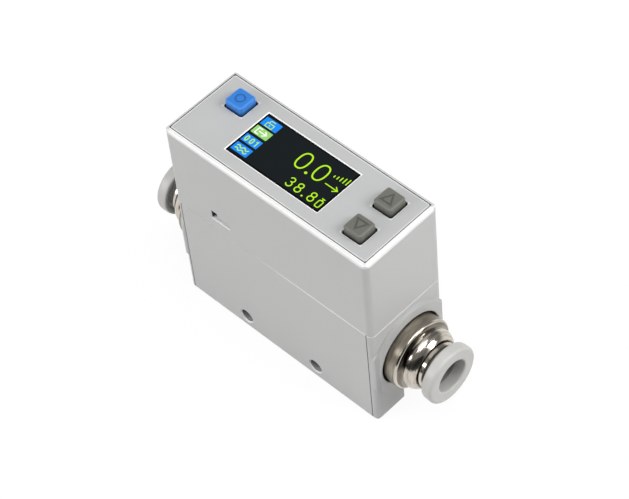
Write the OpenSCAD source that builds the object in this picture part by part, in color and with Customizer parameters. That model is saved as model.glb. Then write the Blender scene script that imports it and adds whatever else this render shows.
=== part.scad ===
// Compact in-line gas mass flow meter with a colour display, three keys and push-in tube fittings.
// X runs along the flow, from inlet (-X) to outlet (+X), Y across the body and Z up.
// The origin is at the middle of the underside.

/* [Body] */
// Length of the body along the flow
body_l = 59; // [57:0.5:71]
// Width of the body
body_w = 22; // [21.5:0.5:27]
// Height from the underside to the top panel
body_h = 54; // [52.5:0.5:65]
// Height of the seam between the flow body and the upper housing
seam_h = 30; // [29.5:0.5:32]
// Radius of the upright corners
corner_r = 1.5; // [1:0.1:2.2]
// Wall thickness of the upper housing
wall = 2; // [1.7:0.1:2.3]
// Chamfer round the underside
base_chamfer = 0.3; // [0.1:0.1:0.6]
// Gap at the seam between the flow body and the upper housing
seam_gap = 0.1; // [0.05:0.05:0.2]
// Chamfer along the seam
seam_chamfer = 0.15; // [0.1:0.05:0.3]

/* [Top panel] */
// Thickness of the top panel
panel_t = 1.5; // [1.3:0.1:1.7]
// Width of the housing rim round the panel, seen from above
rim_w = 1.02; // [0.8:0.02:1.2]
// Drop of the rounded edge of the rim
rim_drop = 1.1; // [0.9:0.1:1.3]
// Gap between the panel and the rim
panel_gap = 0.12; // [0.06:0.02:0.2]
// Corner radius of the panel
panel_r = 0.4; // [0.3:0.1:1]
// Chamfer round the openings of the panel
panel_chamfer = 0.16; // [0.1:0.02:0.24]

/* [Display] */
// Length of the display window, as a share of the body length
window_share = 0.454; // [0.4:0.002:0.46]
// Width of the display window
window_w = 13.2; // [10:0.2:13.4]
// Distance of the display centre from the middle, towards the inlet
window_shift = 1.5; // [0.8:0.1:2.2]
// Thickness of the window
window_t = 1; // [0.8:0.1:1.1]
// Width of the ledge under the window
window_ledge = 1; // [0.6:0.1:1.4]
// Depth of the display module
module_t = 2.4; // [2:0.1:2.5]

/* [Keys] */
// Side of the square key openings
key_opening = 5.5; // [4.8:0.1:5.7]
// Gap between a key and its opening
key_gap = 0.24; // [0.16:0.02:0.28]
// Height of the keys above the panel
key_h = 1.9; // [1.4:0.1:2.4]
// How much narrower a key is at its top
key_draft = 0.25; // [0.1:0.05:0.6]
// Travel of the keys
key_travel = 0.5; // [0.3:0.05:0.5]
// Distance of the set key from the middle, as a share of the half length
set_key_share = 0.7225; // [0.71:0.0025:0.75]
// Distance of the up and down keys from the middle, as a share of the half length
step_key_share = 0.744; // [0.69:0.002:0.76]
// Distance of the keys from the centre line, as a share of the half width
key_y_share = 0.415; // [0.385:0.005:0.43]
// Depth of the engraved marks on the keys
mark_depth = 0.12; // [0.08:0.02:0.2]

/* [Snap windows] */
// Length of the snap windows in the long sides
snap_l = 5.5; // [4.6:0.1:6.5]
// Height of the snap windows
snap_h = 2.4; // [2:0.1:3]
// Distance of the snap windows from the middle, as a share of the half length
snap_share = 0.5; // [0.47:0.01:0.53]
// Height of the snap windows above the seam
snap_rise = 3.3; // [3:0.1:4]
// Length of the snap hook that fills the window
hook_l = 3.8; // [3:0.1:4.2]

/* [Connector] */
// Width of the cable connector shroud, as a share of the body width
plug_share = 0.682; // [0.6:0.002:0.69]
// Height of the cable connector shroud
plug_h = 5.2; // [4.8:0.1:5.6]
// How far the shroud stands out of the inlet end
plug_out = 3.7; // [3.2:0.1:4.6]
// Wall of the shroud
plug_wall = 0.7; // [0.5:0.05:0.9]
// Pitch of the connector pins
pin_pitch = 2.5; // [2:0.1:2.8]
// Thickness of the connector pins
pin_w = 0.64; // [0.5:0.02:0.7]

/* [Mounting] */
// Diameter of the two through holes in the sides
mount_hole_d = 3.4; // [3:0.1:3.7]
// Distance between the through holes
mount_pitch = 21.5; // [20:0.5:23]
// Distance of the middle of the two holes from the middle, towards the inlet
mount_shift = 0; // [-0.6:0.1:0.6]
// Height of the through holes above the underside
mount_h = 3.4; // [3.2:0.1:3.8]
// Chamfer at the mouths of the through holes
mount_chamfer = 0.3; // [0.1:0.05:0.4]
// Width of the pull notch under each end
notch_w = 4.9; // [4:0.1:6]
// Height of the pull notch
notch_h = 3; // [2:0.1:3.4]
// Thickness of the side cover
cover_t = 1.2; // [1:0.1:1.3]
// Gap between the side cover and the flow body
cover_gap = 0.12; // [0.06:0.02:0.16]

/* [Fittings] */
// Outer diameter of the tube that the fittings take
tube_d = 8; // [7.4:0.1:8.2]
// Height of the tube axis, as a share of the seam height
axis_share = 0.554; // [0.54:0.002:0.57]
// Diameter of the round bosses on the ends, as a share of the body width
boss_share = 1.1; // [1.06:0.01:1.12]
// How far the bosses stand out
boss_out = 0.7; // [0.5:0.1:1]
// Diameter of the flange of the fitting, as a share of the body width
flange_share = 0.786; // [0.754:0.002:0.8]
// How far the flange stands out of the end
flange_out = 3.8; // [3.5:0.1:4.3]
// Gap between the flange and its recess
flange_gap = 0.3; // [0.2:0.05:0.35]
// Step from the flange down to the neck
neck_step = 1.25; // [1:0.05:1.5]
// Diameter of the mouth rim of the metal body
mouth_d = 12.5; // [12.3:0.1:12.9]
// How far the mouth rim stands out of the end
mouth_out = 7.6; // [7.4:0.1:8]
// Outer diameter of the guide ring
guide_d = 11.5; // [11.3:0.1:11.6]
// How far the guide ring stands out of the mouth rim
guide_out = 1.2; // [1:0.1:1.4]
// Diameter of the release ring
release_d = 14.4; // [13.4:0.1:15.5]
// Thickness of the release ring
release_t = 3; // [2.8:0.1:3.6]
// Gap between the guide ring and the back of the release ring
release_gap = 0.8; // [0.7:0.1:1.2]
// Outer diameter of the sleeve of the release ring
sleeve_d = 10; // [9.8:0.1:10.1]
// Travel of the release rings
release_travel = 1.5; // [1:0.1:1.5]

/* [Flow path] */
// Diameter of the flow passage in the body
passage_d = 12; // [11:0.2:12.4]
// Length of the flow element
element_l = 18; // [14:0.5:20]
// Diameter of the channels in the flow element
channel_d = 1.1; // [0.8:0.1:1.2]
// Distance between the channels in the flow element
channel_pitch = 1.6; // [1.5:0.05:1.7]
// Thickness of the flow screens
screen_t = 0.6; // [0.4:0.1:1]
// Distance of the bypass ports from the middle
bypass_x = 12; // [11.8:0.1:13]
// Diameter of the bypass ports
bypass_d = 1.6; // [1.2:0.1:1.8]
// Length of the sensor pocket, as a share of the body length
pocket_share = 0.61; // [0.59:0.01:0.65]
// Wall between the flow passage and the sensor pocket
pocket_wall = 2; // [1.5:0.1:2.4]

/* [Inside] */
// Thickness of the circuit boards
board_t = 1.2; // [1:0.1:1.4]
// Thickness of the walls of the inner frame
frame_wall = 1.6; // [1.4:0.1:1.8]
// Thickness of the base of the inner frame
frame_base_t = 1.2; // [1:0.1:1.4]
// Height of the deck on the flow body, inside the upper housing
deck_h = 1.2; // [1:0.1:1.4]
// Width of the gasket between the housings
gasket_w = 0.8; // [0.7:0.05:1]
// Thickness of the sensor gasket
gasket_t = 0.8; // [0.6:0.05:1]
// Diameter of the screws of the inner frame
screw_d = 1.9; // [1.7:0.1:1.95]
// Distance of these screws from the ends of the body
screw_end = 6.5; // [6:0.1:7]
// Width of the blocks of the board headers
header_w = 3; // [2.6:0.1:3.4]

/* [Hidden] */
$fn = 72;

// A little extra so that cuts run past a face
over = 0.5;
// Smallest working gap between pieces that lie together
fit = 0.05;

end_x = body_l / 2;
side_y = body_w / 2;
inner_x = end_x - wall;
inner_y = side_y - wall;
rim_r = (rim_w * rim_w + rim_drop * rim_drop) / (2 * rim_w);
flow_body_top = seam_h - seam_gap;
cover_l = body_l - 2 * corner_r;

// Display and keys, counted down from the top
panel_z = body_h - panel_t;
window_x = -window_shift;
window_l = window_share * body_l;
module_margin = 0.4;
set_key_x = set_key_share * end_x;
step_key_x = step_key_share * end_x;
key_y = key_y_share * side_y;
key_play = 0.1;
key_flange_t = 0.8;
key_flange_z = panel_z - key_play - key_flange_t;
key_flange_w = key_opening + 1;
switch_h = 1.6;
switch_w = 4.6;
plunger_d = 2.4;
plunger_h = 1.3;
plunger_z = key_flange_z - 0.4;
switch_z = plunger_z - key_travel - 0.1 - switch_h;
display_board_z = switch_z - board_t;
display_board_l = 2 * inner_x - 1.6;
display_board_w = 2 * inner_y - 1.2;

// Connector, main board and inner frame, counted up from the seam
snap_x = snap_share * end_x;
plug_w = plug_share * body_w;
deck_z = seam_h + deck_h;
frame_x = inner_x - gasket_w;
frame_y = inner_y - 0.3;
main_board_z = seam_h + 0.58 * (display_board_z - seam_h - plug_h);
main_board_top = main_board_z + board_t;
main_board_y = frame_y - frame_wall - 0.1;
board_room = display_board_z - main_board_top;
main_board_x = frame_x - frame_wall - 0.1;
pad_l = 3;
pad_w = 1.5;
screw_x = end_x - screw_end;
screw_head = 0.45 * screw_d;
link_x = 0.28 * end_x;
plug_z = main_board_top + fit;
plug_in = 5;
pin_z = plug_z + plug_h / 2;

// Sensor pocket in the top of the flow body
axis_h = axis_share * seam_h;
pocket_l = pocket_share * body_l;
pocket_w = 11.6;
pocket_z = axis_h + passage_d / 2 + pocket_wall;
sensor_board_z = pocket_z + gasket_t;
sensor_board_t = 1;
sensor_board_l = pocket_l - 1;
sensor_board_w = pocket_w - 0.6;

// Fitting, measured along the axis from the middle of the body
boss_d = boss_share * body_w;
flange_d = flange_share * body_w;
neck_d = flange_d - 2 * neck_step;
spigot_r = 6.4;
spigot_in = 9;
spigot_x = end_x - spigot_in;
flange_r = flange_d / 2;
flange_x = end_x - 4.2;
recess_r = flange_r + flange_gap;
clip_t = 0.8;
clip_x = flange_x + 1.9;
clip_slot = clip_t + 0.2;
clip_core_r = flange_r - 1.05;
clip_half_w = recess_r - 0.6;
bead_x = end_x + flange_out;
mouth_x = end_x + mouth_out;
mouth_r = mouth_d / 2;
guide_r = guide_d / 2;
guide_tip = mouth_x + guide_out;
release_back = guide_tip + release_gap;
release_front = release_back + release_t;
release_r = release_d / 2;
tube_r = tube_d / 2;
ring_bore_r = tube_r + 0.1;
sleeve_r = sleeve_d / 2;
groove_r = 5.05;
o_ring_r = 0.65;
o_ring_x = spigot_x + 2.5;
seal_x = mouth_x - 9.1;
seal_l = 2.4;
seal_r = guide_r - 0.2;
chuck_x = seal_x + seal_l;
guide_x = chuck_x + 3;
nose_x = guide_x + 0.7;

housing_grey = "#bdbebf";
panel_grey = "#c6c7c9";
key_grey = "#7f8076";
key_blue = "#3f82d2";
window_black = "#14171a";
board_green = "#2f6b46";
seal_black = "#26272a";
nickel = "#b9b3a9";
release_grey = "#dcdcda";
steel = "#a9adb0";
gold = "#c8a24a";

// Rectangle with round corners, centred
module round_rect(l, w, r) {
    square([l - 2 * r, w], center = true);
    square([l, w - 2 * r], center = true);
    for (sx = [-1, 1], sy = [-1, 1])
        translate([sx * (l / 2 - r), sy * (w / 2 - r)]) circle(r);
}

// Upright block with round corners, standing on z
module upright_block(l, w, h, r, z = 0) {
    translate([0, 0, z]) linear_extrude(h) round_rect(l, w, r);
}

// Square-cornered block, centred in X and Y and standing on z
module block(l, w, h, x = 0, y = 0, z = 0) {
    translate([x - l / 2, y - w / 2, z]) cube([l, w, h]);
}

// Outline of the flow body seen along one axis, with its two chamfers
module lower_outline(w) {
    polygon([
        [-w / 2 + base_chamfer, 0], [w / 2 - base_chamfer, 0], [w / 2, base_chamfer],
        [w / 2, flow_body_top - seam_chamfer], [w / 2 - seam_chamfer, flow_body_top],
        [-w / 2 + seam_chamfer, flow_body_top], [-w / 2, flow_body_top - seam_chamfer],
        [-w / 2, base_chamfer]
    ]);
}

// Outline of the upper housing seen along one axis, with the rounded rim at the top
module upper_outline(w) {
    intersection() {
        union() {
            polygon([
                [-w / 2 + seam_chamfer, seam_h], [w / 2 - seam_chamfer, seam_h], [w / 2, seam_h + seam_chamfer],
                [w / 2, body_h - rim_drop], [-w / 2, body_h - rim_drop], [-w / 2, seam_h + seam_chamfer]
            ]);
            translate([-w / 2 + rim_r, seam_h]) square([w - 2 * rim_r, body_h - seam_h]);
            for (s = [-1, 1]) translate([s * (w / 2 - rim_r), body_h - rim_drop]) circle(rim_r);
        }
        translate([-w / 2, seam_h]) square([w, body_h - seam_h]);
    }
}

// Block with upright round corners and the given outline along both sides: children 0 and 1
module outlined_block() {
    intersection() {
        upright_block(body_l, body_w, body_h, corner_r);
        rotate([90, 0, 0]) linear_extrude(body_w + 2 * over, center = true) children(0);
        rotate([90, 0, 90]) linear_extrude(body_l + 2 * over, center = true) children(1);
    }
}

module lower_form() {
    outlined_block() {
        lower_outline(body_l);
        lower_outline(body_w);
    }
}

// Places a piece drawn about Z on the tube axis; side is 1 for the outlet and -1 for the inlet
module on_tube_axis(side = 1) {
    translate([0, 0, axis_h]) mirror([side < 0 ? 1 : 0, 0, 0]) rotate([0, 90, 0]) children();
}

// Solid of revolution about the tube axis from [radius, distance from the middle] points
module turned(points, side) {
    on_tube_axis(side) rotate_extrude($fn = 96) polygon(points);
}

// Points of a quarter-like curve from a to b that leaves a towards c
function curve(a, c, b, steps) =
    [for (i = [0:steps]) let (t = i / steps) (1 - t) * (1 - t) * a + 2 * t * (1 - t) * c + t * t * b];

// Hexagonal field of points with the given pitch inside a circle
function hex_field(pitch, r) = [
    for (i = [-6:6], j = [-6:6])
        let (p = [pitch * (i + j / 2), pitch * j * sqrt(3) / 2])
        if (norm(p) <= r) p
];

function key_place(name) =
    name == "set" ? [-set_key_x, key_y] :
    name == "up" ? [step_key_x, key_y] :
    [step_key_x, -key_y];

// Upper housing

module snap_opening(side) {
    block(snap_l, wall + 2 * over, snap_h, x = -snap_x, y = side * (side_y - wall / 2), z = seam_h + snap_rise);
}

module upper_housing() color(housing_grey)
    difference() {
        outlined_block() {
            upper_outline(body_l);
            upper_outline(body_w);
        }
        upright_block(2 * inner_x, 2 * inner_y, panel_z - seam_h + over, corner_r - 0.5, seam_h - over);
        upright_block(body_l - 2 * rim_w, body_w - 2 * rim_w, panel_t + over, panel_r + panel_gap, panel_z);
        for (side = [-1, 1]) snap_opening(side);
        block(wall + 2 * over, plug_w + 0.3, plug_h + 0.3, x = -end_x + wall / 2, z = plug_z - 0.15);
    }

// Opening in the panel with a chamfered upper edge
module panel_opening(l, w, r) {
    upright_block(l, w, panel_t + 2 * over, r, panel_z - over);
    hull() {
        upright_block(l, w, 0.02, r, body_h - panel_chamfer, $fn = 32);
        upright_block(l + 2 * panel_chamfer, w + 2 * panel_chamfer, 0.02, r + panel_chamfer, body_h, $fn = 32);
    }
}

module top_panel() color(panel_grey)
    difference() {
        upright_block(
            body_l - 2 * (rim_w + panel_gap), body_w - 2 * (rim_w + panel_gap),
            panel_t, panel_r, panel_z
        );
        translate([window_x, 0, 0]) {
            block(window_l, window_w, window_t + over, z = body_h - window_t);
            hull() {
                block(window_l, window_w, 0.02, z = body_h - panel_chamfer);
                block(window_l + 2 * panel_chamfer, window_w + 2 * panel_chamfer, 0.02, z = body_h);
            }
            block(window_l - 2 * window_ledge, window_w - 2 * window_ledge, panel_t + 2 * over, z = panel_z - over);
        }
        for (name = ["set", "up", "down"]) translate(key_place(name)) panel_opening(key_opening, key_opening, 0.6);
    }

module display_window() color(window_black)
    block(window_l - 2 * fit, window_w - 2 * fit, window_t, x = window_x, z = body_h - window_t);

module display_module() color("#3a3d40")
    difference() {
        block(
            window_l + 2 * module_margin, window_w + 2 * module_margin, module_t,
            x = window_x, z = switch_z
        );
        block(
            window_l - 2 * window_ledge, window_w - 2 * window_ledge, 0.4 + over,
            x = window_x, z = switch_z + module_t - 0.4
        );
    }

module display_board() color(board_green)
    upright_block(display_board_l, display_board_w, board_t, 0.6, display_board_z);

// Keys and their switches

module key_cap() {
    base_w = key_opening - 2 * key_gap;
    top_w = base_w - key_draft;
    hull() {
        upright_block(base_w, base_w, 0.1, 0.6, key_flange_z + key_flange_t - 0.1, $fn = 32);
        upright_block(base_w - 0.1, base_w - 0.1, 0.1, 0.7, body_h, $fn = 32);
        upright_block(top_w + 0.15, top_w + 0.15, 0.1, 0.7, body_h + key_h - 0.4, $fn = 32);
        upright_block(top_w - 0.1, top_w - 0.1, 0.1, 0.6, body_h + key_h - 0.2, $fn = 32);
        upright_block(top_w - 0.5, top_w - 0.5, 0.1, 0.5, body_h + key_h - 0.1, $fn = 32);
    }
}

module key_body() {
    key_cap();
    upright_block(key_flange_w, key_flange_w, key_flange_t, 0.5, key_flange_z);
    upright_block(3.6, 3.6, key_flange_z - plunger_z, 0.5, plunger_z);
}

// Engraved outline of a triangle that points along +Y when way is 1
module triangle_mark(way) {
    size = (key_opening - 2 * key_gap - key_draft) * 0.36;
    translate([0, 0, body_h + key_h - mark_depth]) linear_extrude(mark_depth + over)
        difference() {
            polygon([[-size, -way * size * 0.8], [size, -way * size * 0.8], [0, way * size]]);
            polygon([
                [-size * 0.55, -way * size * 0.56], [size * 0.55, -way * size * 0.56], [0, way * size * 0.5]
            ]);
        }
}

module ring_mark() {
    translate([0, 0, body_h + key_h - mark_depth]) linear_extrude(mark_depth + over)
        difference() {
            circle(1.25);
            circle(0.85);
        }
}

module set_key() color(key_blue)
    translate(key_place("set")) difference() {
        key_body();
        ring_mark();
    }

module up_key() color(key_grey)
    translate(key_place("up")) difference() {
        key_body();
        triangle_mark(1);
    }

module down_key() color(key_grey)
    translate(key_place("down")) difference() {
        key_body();
        triangle_mark(-1);
    }

module plunger(name) color(seal_black)
    translate([key_place(name)[0], key_place(name)[1], plunger_z - plunger_h])
        cylinder(h = plunger_h, d = plunger_d);

module key_switches() color(steel)
    for (name = ["set", "up", "down"]) translate(key_place(name)) difference() {
        block(switch_w, switch_w, switch_h, z = switch_z);
        translate([0, 0, switch_z + 0.1]) cylinder(h = switch_h, d = plunger_d + 0.2);
    }

// Boards and their frame

module main_board() color(board_green)
    upright_block(2 * main_board_x, 2 * main_board_y, board_t, 0.6, main_board_z);

// Component on the main board, as shares of the half length, half board width and room above it
module chip(l, w, h, x, y) {
    block(l * end_x, w * main_board_y, h * board_room, x = x * end_x, y = y * main_board_y, z = main_board_top);
}

module board_chips() color(seal_black) {
    chip(0.24, 1, 0.13, -0.14, 0);
    chip(0.17, 0.55, 0.17, -0.48, 0.45);
    chip(0.1, 0.45, 0.24, -0.48, -0.5);
    chip(0.14, 0.7, 0.15, 0.59, 0);
}

// Header that joins two boards: a block on each and a row of four pins between them
module header_link(x, z_low, z_high) {
    block_h = 0.23 * (z_high - z_low);
    block(header_w, 4 * pin_pitch, block_h, x = x, z = z_low);
    block(header_w, 4 * pin_pitch, block_h, x = x, z = z_high - block_h);
    for (i = [-1.5:1:1.5]) block(pin_w, pin_w, z_high - z_low, x = x, y = i * pin_pitch, z = z_low);
}

module board_link() color(seal_black) header_link(link_x, main_board_top, display_board_z);

module sensor_link() color(seal_black) header_link(link_x, sensor_board_z + sensor_board_t, main_board_z);

// Snap hook with its arm, which fills most of the snap window
module frame_hook(side) {
    hook_z = seam_h + snap_rise + 0.15;
    hook_h = snap_h - 0.3;
    hook_x = -snap_x + (snap_l - hook_l) / 2 - 0.15;
    block(hook_l, frame_wall, hook_z + hook_h - deck_z, x = hook_x, y = side * (frame_y - frame_wall / 2), z = deck_z);
    hull() {
        block(hook_l, 0.1, hook_h, x = hook_x, y = side * (frame_y - 0.1), z = hook_z);
        block(hook_l, 0.1, hook_h - 0.7, x = hook_x, y = side * (side_y - 0.2), z = hook_z + 0.7);
    }
}

// Walls round both boards on a base, with pads under the main board and a slot for the connector
module board_frame() color("#d8d8d4") {
    difference() {
        upright_block(2 * frame_x, 2 * frame_y, display_board_z - deck_z, 1, deck_z);
        upright_block(
            2 * (frame_x - frame_wall), 2 * (frame_y - frame_wall),
            display_board_z, 0.5, deck_z + frame_base_t
        );
        block(2 * frame_wall + 2.3, plug_w + 0.3, display_board_z, x = -frame_x, z = plug_z - 0.15);
        block(pocket_l - 4, pocket_w, frame_base_t + 2 * over, z = deck_z - over);
        for (s = [-1, 1]) translate([s * screw_x, 0, deck_z]) {
            translate([0, 0, -over]) cylinder(h = frame_base_t + 2 * over, d = screw_d + 0.4, $fn = 32);
            translate([0, 0, frame_base_t - screw_head - fit])
                cylinder(h = screw_head + over, d = 2 * screw_d + 0.4, $fn = 32);
        }
    }
    for (sx = [-1, 1], sy = [-1, 1])
        block(
            pad_l, pad_w, main_board_z - deck_z,
            x = sx * (main_board_x + 0.1 - pad_l / 2), y = sy * (main_board_y + 0.1 - pad_w / 2), z = deck_z
        );
    for (s = [-1, 1])
        block(
            1.2, pocket_w / 2, deck_z - sensor_board_z - sensor_board_t,
            x = s * (pocket_l / 2 - 1.4), z = sensor_board_z + sensor_board_t
        );
    for (side = [-1, 1]) frame_hook(side);
}

module frame_screws() color(steel)
    for (s = [-1, 1]) translate([s * screw_x, 0, deck_z + frame_base_t - screw_head]) difference() {
        union() {
            cylinder(h = screw_head, d = 2 * screw_d, $fn = 32);
            translate([0, 0, -2.2 * screw_d]) cylinder(h = 2.2 * screw_d + 0.1, d = screw_d, $fn = 32);
        }
        block(1.2 * screw_d, 0.25 * screw_d, screw_d, z = 0.25 * screw_d);
        block(0.25 * screw_d, 1.2 * screw_d, screw_d, z = 0.25 * screw_d);
    }

module housing_gasket() color(seal_black)
    difference() {
        upright_block(2 * inner_x - 2 * fit, 2 * inner_y - 2 * fit, deck_h - 0.3, corner_r - 0.5, seam_h - seam_gap);
        upright_block(
            2 * (inner_x - gasket_w) + 2 * fit, 2 * (inner_y - gasket_w) + 2 * fit,
            deck_h + over, 0.5, seam_h - over
        );
    }

// Cable connector

module connector_shroud() color(housing_grey)
    translate([-end_x - plug_out, 0, pin_z]) difference() {
        rotate([90, 0, 90]) linear_extrude(plug_out + plug_in) round_rect(plug_w, plug_h, 0.6);
        translate([-over, 0, 0]) rotate([90, 0, 90]) linear_extrude(plug_out + plug_in - 1.2 + over)
            round_rect(plug_w - 2 * plug_wall, plug_h - 2 * plug_wall, 0.3);
        block(2 * (plug_out - 0.6), 3.2, plug_wall + over, z = plug_h / 2 - plug_wall - 0.1);
        for (i = [-1.5:1:1.5])
            block(8, pin_w, pin_w, x = plug_out + plug_in, y = i * pin_pitch, z = -pin_w / 2);
    }

module connector_pins() color(gold)
    for (i = [-1.5:1:1.5]) translate([-end_x + plug_in, i * pin_pitch, 0]) {
        block(7.6, pin_w, pin_w, x = -2.6, z = pin_z - pin_w / 2);
        block(pin_w, pin_w, pin_z - main_board_top + pin_w / 2, x = 1.2 - pin_w / 2, z = main_board_top);
    }

// Flow sensor

module sensor_gasket() color(seal_black)
    difference() {
        upright_block(2 * bypass_x + 5, 0.6 * pocket_w, gasket_t, 1.5, pocket_z);
        upright_block(2 * bypass_x + 2.4, 0.3 * pocket_w, gasket_t + 2 * over, 1, pocket_z - over);
    }

module sensor_board() color(board_green)
    upright_block(sensor_board_l, sensor_board_w, sensor_board_t, 0.5, sensor_board_z);

module sensor_chip() color(steel)
    block(3, 2.6, gasket_t - 0.25, z = pocket_z + 0.25);

// Flow body

module mount_holes(d, y, depth) {
    for (s = [-1, 1])
        translate([s * mount_pitch / 2 - mount_shift, y, mount_h]) rotate([-90, 0, 0]) cylinder(h = depth, d = d);
}

module mount_mouth(side) {
    for (s = [-1, 1])
        translate([s * mount_pitch / 2 - mount_shift, side * side_y, mount_h]) rotate([side * 90, 0, 0])
            translate([0, 0, -0.01])
                cylinder(h = mount_chamfer, d1 = mount_hole_d + 2 * mount_chamfer, d2 = mount_hole_d);
}

module end_boss(side) {
    intersection() {
        on_tube_axis(side) translate([0, 0, end_x - 1]) {
            cylinder(h = 1 + boss_out - 0.5, d = boss_d, $fn = 96);
            translate([0, 0, boss_out + 0.5]) cylinder(h = 0.5, d1 = boss_d, d2 = boss_d - 1, $fn = 96);
        }
        upright_block(body_l + 2 * boss_out, body_w, flow_body_top - 0.05, corner_r);
    }
}

// Recess, passage and clip slot of one end
module end_cuts(side) {
    on_tube_axis(side) {
        translate([0, 0, spigot_x - 0.3]) cylinder(h = spigot_in + 2, r = spigot_r + 0.1);
        translate([0, 0, flange_x]) cylinder(h = 10, r = recess_r, $fn = 96);
        translate([0, 0, end_x + boss_out - 0.3])
            cylinder(h = 0.31, r1 = recess_r, r2 = recess_r + 0.3, $fn = 96);
    }
    block(clip_slot, 2 * clip_half_w + 0.2, axis_h + over, x = side * clip_x, z = -over);
    block(4, notch_w, notch_h + over, x = side * (end_x - 1.5), z = -over);
    translate([side * screw_x, 0, deck_z + frame_base_t - screw_head - 2.2 * screw_d - 0.3])
        cylinder(h = 2.2 * screw_d + over, d = screw_d + 0.1, $fn = 32);
}

// Coring pocket behind the side cover
module coring(from_x, to_x) {
    block(
        to_x - from_x, 0.27 * body_w, 0.32 * axis_h,
        x = (from_x + to_x) / 2, y = -side_y + cover_t + 0.13 * body_w, z = 0.09 * axis_h
    );
}

module flow_body() color(housing_grey)
    difference() {
        union() {
            lower_form();
            upright_block(2 * (inner_x - gasket_w), 2 * (inner_y - gasket_w), deck_h + seam_gap, 0.5, flow_body_top);
            for (side = [-1, 1]) end_boss(side);
        }
        on_tube_axis() cylinder(h = 2 * spigot_x, d = passage_d, center = true);
        for (side = [-1, 1]) end_cuts(side);
        block(cover_l, 2 * cover_t, 2 * seam_h, y = -side_y, z = -over);
        mount_holes(mount_hole_d, -side_y, body_w + over);
        mount_mouth(1);
        coring(-end_x + 5.2, -mount_pitch / 2 - 4.5);
        coring(-mount_pitch / 2 + 3.8, mount_pitch / 2 - 5.2);
        coring(mount_pitch / 2 + 3.8, end_x - 5.2);
        upright_block(pocket_l, pocket_w, deck_z, 1, pocket_z);
        for (s = [-1, 1]) translate([s * bypass_x, 0, axis_h]) cylinder(h = pocket_z - axis_h + over, d = bypass_d);
    }

module side_cover() color(housing_grey)
    difference() {
        intersection() {
            lower_form();
            block(cover_l - 2 * cover_gap, cover_t - fit, flow_body_top, y = -side_y + (cover_t - fit) / 2);
        }
        mount_holes(mount_hole_d, -side_y - over, cover_t + 2 * over);
        mount_mouth(-1);
    }

module flow_element() color("#e6e6e2")
    on_tube_axis() difference() {
        cylinder(h = element_l, d = passage_d - 2 * fit, center = true);
        for (p = hex_field(channel_pitch, passage_d / 2 - 1.1))
            translate([p[0], p[1], 0]) cylinder(h = element_l + 2 * over, d = channel_d, center = true, $fn = 24);
    }

module flow_screens() color(steel)
    for (side = [-1, 1]) on_tube_axis(side) translate([0, 0, element_l / 2 + 0.2]) difference() {
        cylinder(h = screen_t, d = passage_d - 2 * fit);
        for (p = hex_field(channel_pitch, passage_d / 2 - 1.1))
            translate([p[0], p[1], -over]) cylinder(h = screen_t + 2 * over, d = channel_d * 0.7, $fn = 24);
    }

// Push-in fittings

fitting_points = concat(
    [
        [3.2, spigot_x], [spigot_r - 0.3, spigot_x], [spigot_r, spigot_x + 0.3],
        [spigot_r, o_ring_x - 0.9], [groove_r, o_ring_x - 0.9], [groove_r, o_ring_x + 0.9], [spigot_r, o_ring_x + 0.9],
        [spigot_r, flange_x + fit], [flange_r - 0.2, flange_x + fit], [flange_r, flange_x + fit + 0.2],
        [flange_r, clip_x - clip_slot / 2], [clip_core_r, clip_x - clip_slot / 2],
        [clip_core_r, clip_x + clip_slot / 2], [flange_r, clip_x + clip_slot / 2],
        [flange_r, bead_x - 1.2]
    ],
    curve([flange_r, bead_x - 0.9], [flange_r + 0.16, bead_x - 0.3], [flange_r - 0.1, bead_x], 5),
    curve([flange_r - 0.3, bead_x + 0.1], [neck_d / 2 + 0.05, bead_x + 0.2], [neck_d / 2 - 0.05, bead_x + 0.95], 5),
    curve([neck_d / 2, bead_x + 1.25], [neck_d / 2 + 0.1, bead_x + 2.6], [mouth_r, mouth_x - 0.05], 8),
    [
        [mouth_r - 0.1, mouth_x], [guide_r + 0.3, mouth_x - 0.05], [guide_r + 0.3, mouth_x - 0.6],
        [guide_r + fit, mouth_x - 0.6], [guide_r + fit, chuck_x], [seal_r, chuck_x], [seal_r, seal_x],
        [tube_r + 0.08, seal_x], [tube_r + 0.08, seal_x - 3], [3.2, seal_x - 3]
    ]
);

module fitting(side) color(nickel) turned(fitting_points, side);

module o_ring(side) color(seal_black)
    on_tube_axis(side) translate([0, 0, o_ring_x]) rotate_extrude($fn = 96)
        translate([groove_r + o_ring_r + fit, 0]) circle(o_ring_r, $fn = 32);

module tube_seal(side) color(seal_black)
    turned([
        [seal_r - fit, seal_x + fit], [seal_r - fit, chuck_x - fit], [seal_r - 0.5, chuck_x - fit],
        [tube_r + 0.1, chuck_x - 0.7], [tube_r, chuck_x - 1.1], [tube_r + 0.3, seal_x + 0.9],
        [tube_r + 0.5, seal_x + fit]
    ], side);

module chuck(side) color(steel)
    difference() {
        turned([
            [guide_r - fit, chuck_x + 2], [guide_r - fit, guide_x - 0.2], [sleeve_r + 0.35, guide_x - 0.2],
            [sleeve_r + 0.05, guide_x - 1.2], [tube_r + 0.12, chuck_x + 0.5], [tube_r + 0.12, chuck_x + 0.2],
            [tube_r + 0.3, chuck_x + 0.2], [sleeve_r + 0.2, chuck_x + 1.4]
        ], side);
        on_tube_axis(side) for (a = [0:45:315]) rotate(a) block(5.2, 0.5, 2, x = 2.6, z = chuck_x - 0.1);
    }

module guide(side) color(steel)
    turned([
        [guide_r, guide_x], [guide_r, guide_tip - 0.25], [guide_r - 0.25, guide_tip], [sleeve_r + 0.3, guide_tip],
        [sleeve_r + 0.15, guide_tip - 0.2], [sleeve_r + 0.15, guide_x + 2.1], [sleeve_r + 0.5, guide_x + 2.1],
        [sleeve_r + 0.5, guide_x]
    ], side);

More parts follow.
